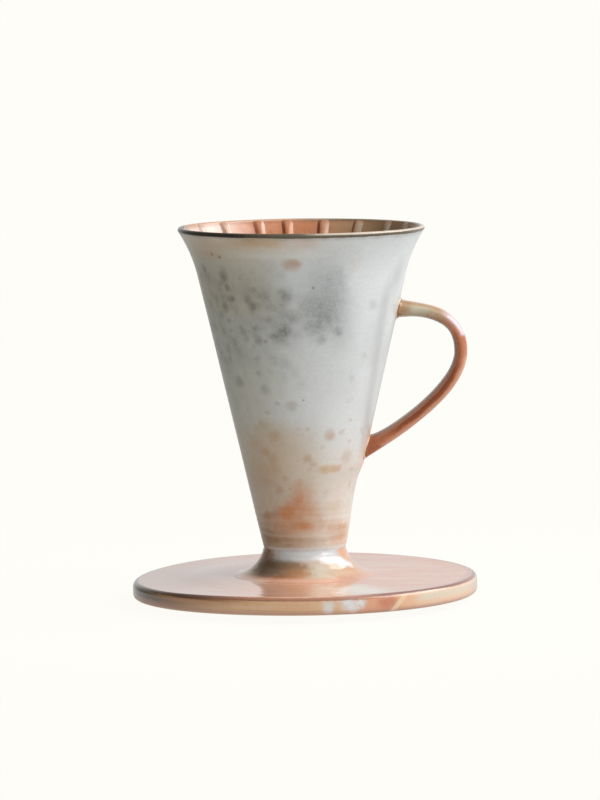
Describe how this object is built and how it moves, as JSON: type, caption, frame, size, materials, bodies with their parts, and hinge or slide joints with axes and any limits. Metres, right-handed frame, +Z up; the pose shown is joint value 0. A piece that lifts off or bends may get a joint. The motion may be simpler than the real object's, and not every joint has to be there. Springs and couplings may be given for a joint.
{
  "type": "pour over coffee dripper",
  "caption": "Glazed stoneware pour-over dripper: tall ribbed cone with a flared lip and ear handle, on a trumpet neck and a wide round plate that sits on a cup.",
  "frame": {"origin": "on the cone's axis, in the plane of the plate's flat underside, where the dripper rests on a cup's rim", "axes": "+Z up along the cone's axis, +X towards the handle"},
  "size_m": [0.1286, 0.1286, 0.14],
  "materials": {
    "ash_glaze": "satin",
    "iron_glaze": "satin",
    "copper_glaze": "gloss",
    "blush_glaze": "gloss",
    "amber_glaze": "gloss",
    "bare_clay": "matte"
  },
  "bodies": {
    "root": {"cone_wall": "ash_glaze", "lip_band": "iron_glaze", "brewing_ribs": "copper_glaze", "drip_floor": "copper_glaze", "neck": "blush_glaze", "base_plate": "blush_glaze", "locating_ring": "bare_clay", "handle": "amber_glaze", "upper_handle_joint": "amber_glaze", "lower_handle_joint": "amber_glaze"}
  },
  "joints": []
}
